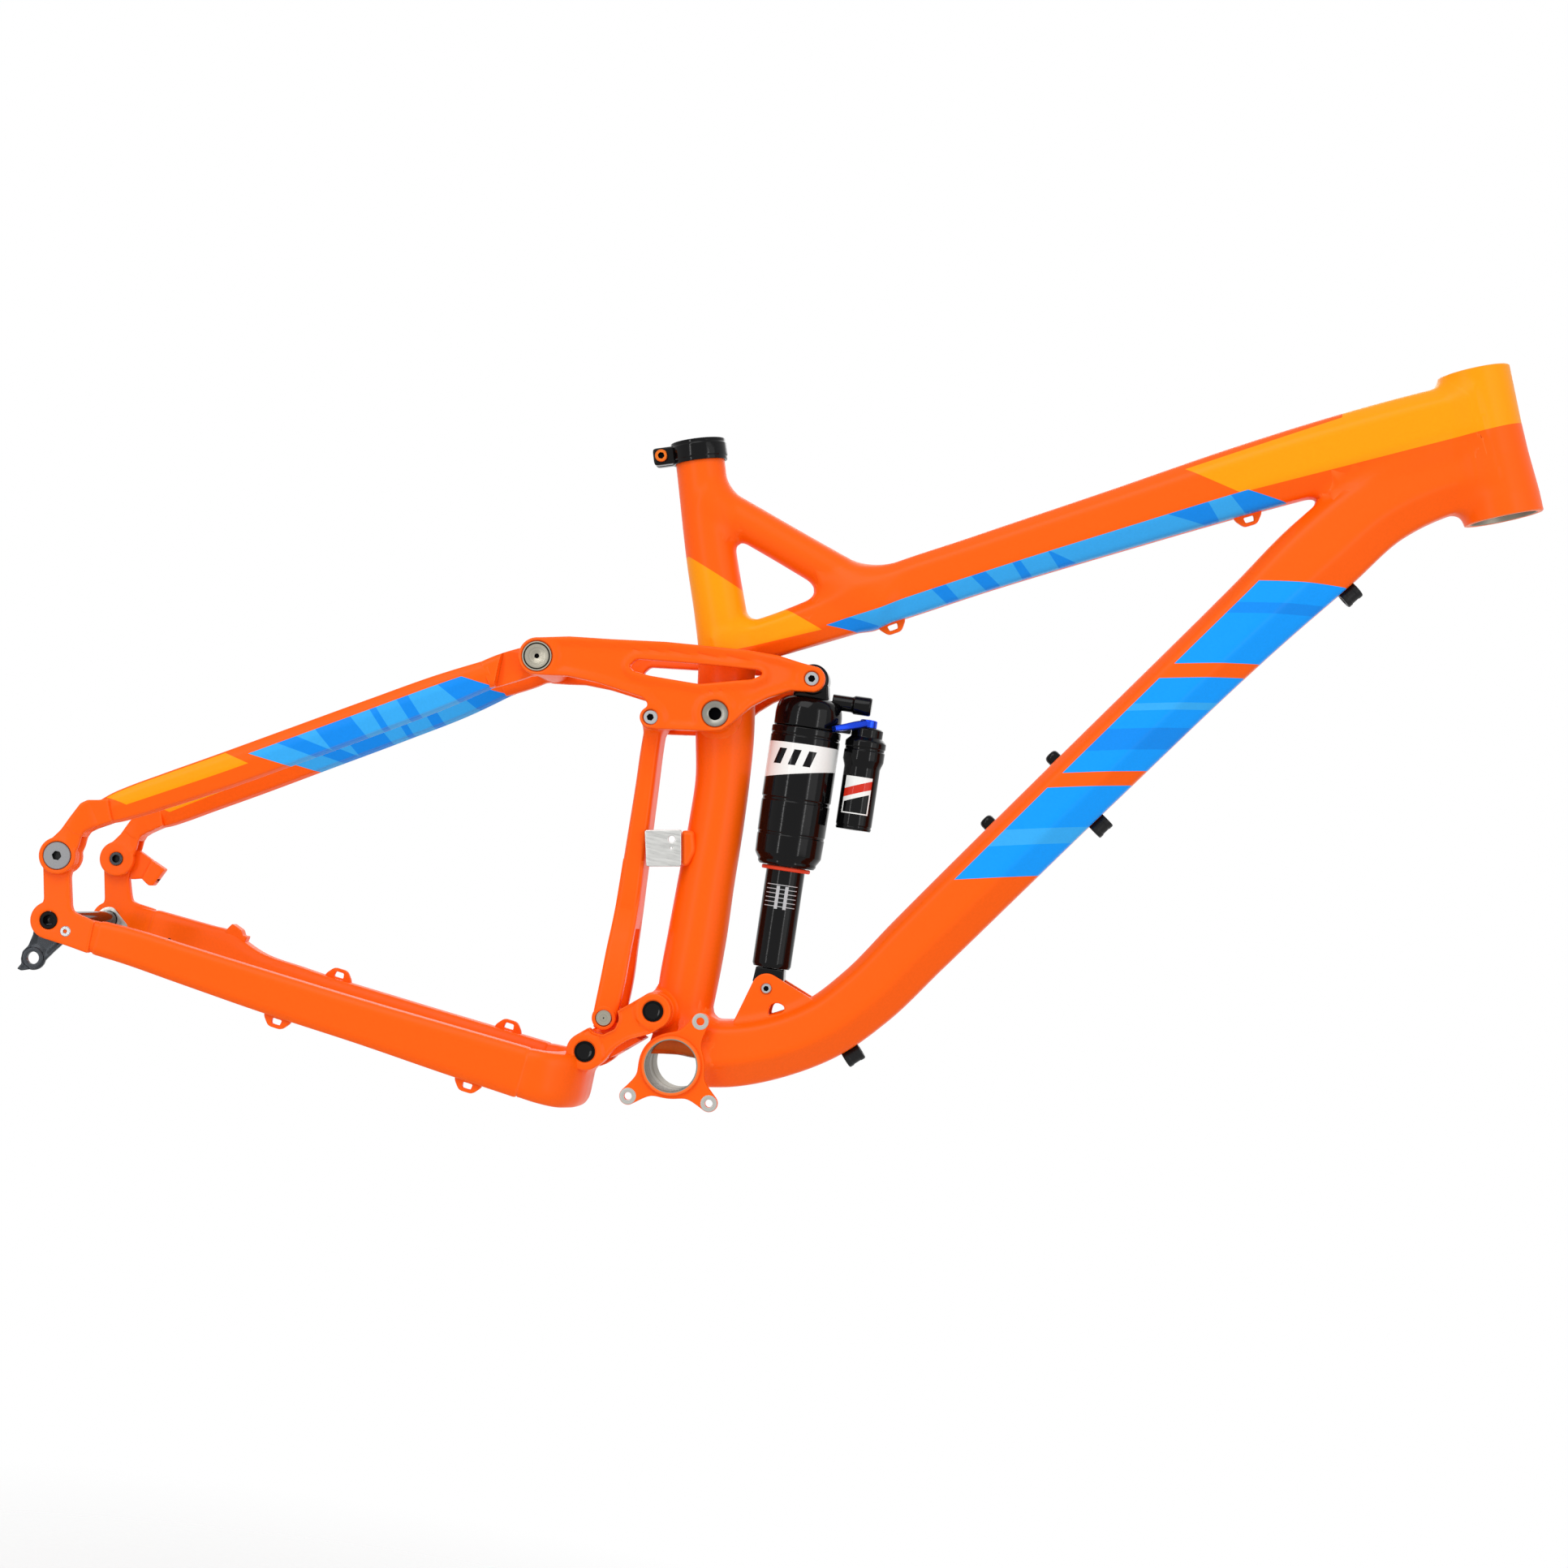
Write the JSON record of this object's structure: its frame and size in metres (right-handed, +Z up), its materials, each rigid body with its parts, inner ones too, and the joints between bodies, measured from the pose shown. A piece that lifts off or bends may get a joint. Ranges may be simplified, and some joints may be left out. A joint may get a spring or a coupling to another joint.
{
  "type": "full-suspension bicycle frame",
  "caption": "Full-suspension mountain bike frame in orange with rocker, strut, lower link and piggyback air shock, without wheels, fork or seatpost.",
  "frame": {"origin": "centre of the bottom bracket bore", "axes": "+X forward, +Y to the rider's left along the bottom bracket axis, +Z up as ridden"},
  "size_m": [0.9596, 0.17, 0.6372],
  "materials": {
    "orange_paint": "satin paint over alloy",
    "black_alloy": "gloss black anodised",
    "bare_alloy": "turned bare metal",
    "blue_alloy": "blue anodised",
    "red_rubber": "matt"
  },
  "bodies": {
    "front_triangle": {"head_tube": "orange_paint", "top_tube": "orange_paint", "down_tube": "orange_paint", "seat_tube": "orange_paint", "seat_tube_brace": "orange_paint", "bb_shell": "orange_paint", "shock_mount_right": "orange_paint", "shock_mount_left": "orange_paint", "main_pivot_tube": "orange_paint", "rocker_pivot_tube": "orange_paint", "seat_clamp": "black_alloy", "seat_clamp_bolt": "orange_paint", "front_derailleur_mount": "bare_alloy", "shock_lower_bolt": "bare_alloy", "top_tube_guide_rear": "orange_paint", "top_tube_guide_front": "orange_paint", "cable_clip_1": "black_alloy", "cable_clip_2": "black_alloy", "cable_clip_3": "black_alloy", "bottle_bolt_lower": "black_alloy", "bottle_bolt_upper": "black_alloy"},
    "rocker": {"rocker_right": "orange_paint", "rocker_left": "orange_paint", "rocker_pivot_axle": "bare_alloy", "seatstay_pivot_axle": "bare_alloy", "strut_upper_bolt": "bare_alloy", "shock_upper_bolt": "bare_alloy"},
    "strut": {"strut": "orange_paint", "strut_lower_pin": "bare_alloy"},
    "lower_link": {"lower_link": "orange_paint", "main_pivot_axle": "black_alloy", "chainstay_pivot_axle": "black_alloy"},
    "chainstay": {"chainstay_right": "orange_paint", "chainstay_left": "orange_paint", "chainstay_yoke": "orange_paint", "dropout_right": "orange_paint", "dropout_left": "orange_paint", "derailleur_hanger": "black_alloy", "hanger_bolt": "bare_alloy", "brake_post": "orange_paint", "right_guide_rear": "orange_paint", "right_guide_front": "orange_paint", "left_guide_rear": "orange_paint", "left_guide_front": "orange_paint"},
    "rear_axle": {"rear_axle": "black_alloy"},
    "seatstay": {"seatstay_right": "orange_paint", "seatstay_left": "orange_paint", "seatstay_yoke": "orange_paint", "seatstay_clevis_right": "orange_paint", "seatstay_clevis_left": "orange_paint", "dropout_bolt_right": "bare_alloy", "dropout_bolt_left": "bare_alloy"},
    "shock_body": {"shock_head": "black_alloy", "shock_air_can": "black_alloy", "shock_travel_ring": "red_rubber", "shock_reservoir": "black_alloy", "shock_valve": "black_alloy"},
    "shock_lever": {"shock_lever": "blue_alloy"},
    "shock_rod": {"shock_shaft": "black_alloy", "shock_lower_eye": "black_alloy"}
  },
  "joints": [
    {"name": "rocker_pivot", "type": "hinge", "parent": "front_triangle", "child": "rocker", "pos_m": [-0.0198, 0, 0.2431], "axis": [0, 1, 0], "range_deg": [0, 49], "stiffness_Nm_per_rad": 700, "springref_deg": -1.72},
    {"name": "lower_link_pivot", "type": "hinge", "parent": "front_triangle", "child": "lower_link", "pos_m": [-0.0197, 0, 0.0342], "axis": [0, 1, 0], "range_deg": [0, 61.94]},
    {"name": "strut_pivot", "type": "hinge", "parent": "rocker", "child": "strut", "pos_m": [-0.0626, 0, 0.2317], "axis": [0, 1, 0], "range_deg": [-49.09, 0]},
    {"name": "seatstay_pivot", "type": "hinge", "parent": "rocker", "child": "seatstay", "pos_m": [-0.1471, 0, 0.2569], "axis": [0, 1, 0], "range_deg": [-37.41, 0]},
    {"name": "chainstay_pivot", "type": "hinge", "parent": "lower_link", "child": "chainstay", "pos_m": [-0.0602, 0, -0.0027], "axis": [0, 1, 0], "range_deg": [-45.78, 0]},
    {"name": "shock_pivot", "type": "hinge", "parent": "rocker", "child": "shock_body", "pos_m": [0.0395, 0, 0.2809], "axis": [0, 1, 0], "range_deg": [-45.78, 0]},
    {"name": "shock_stroke", "type": "slide", "parent": "shock_body", "child": "shock_rod", "axis": [-0.0578, 0, 0.9983], "range_m": [0, 0.0579]},
    {"name": "shock_lever_turn", "type": "hinge", "parent": "shock_body", "child": "shock_lever", "pos_m": [0.08163, 0, 0.28334], "axis": [-0.0578, 0, 0.9983], "range_deg": [0, 70]},
    {"name": "rear_axle_slide", "type": "slide", "parent": "chainstay", "child": "rear_axle", "axis": [0, 1, 0], "range_m": [0, 0.17]}
  ],
  "couplings": [
    {"joint": "lower_link_pivot", "follows": "rocker_pivot", "ratio": 1.2638},
    {"joint": "strut_pivot", "follows": "rocker_pivot", "ratio": -1.0015},
    {"joint": "seatstay_pivot", "follows": "rocker_pivot", "ratio": -0.7632},
    {"joint": "chainstay_pivot", "follows": "rocker_pivot", "ratio": -0.934},
    {"joint": "shock_pivot", "follows": "rocker_pivot", "ratio": -0.934},
    {"joint": "shock_stroke", "follows": "rocker_pivot", "m_per_rad": 0.06766}
  ]
}
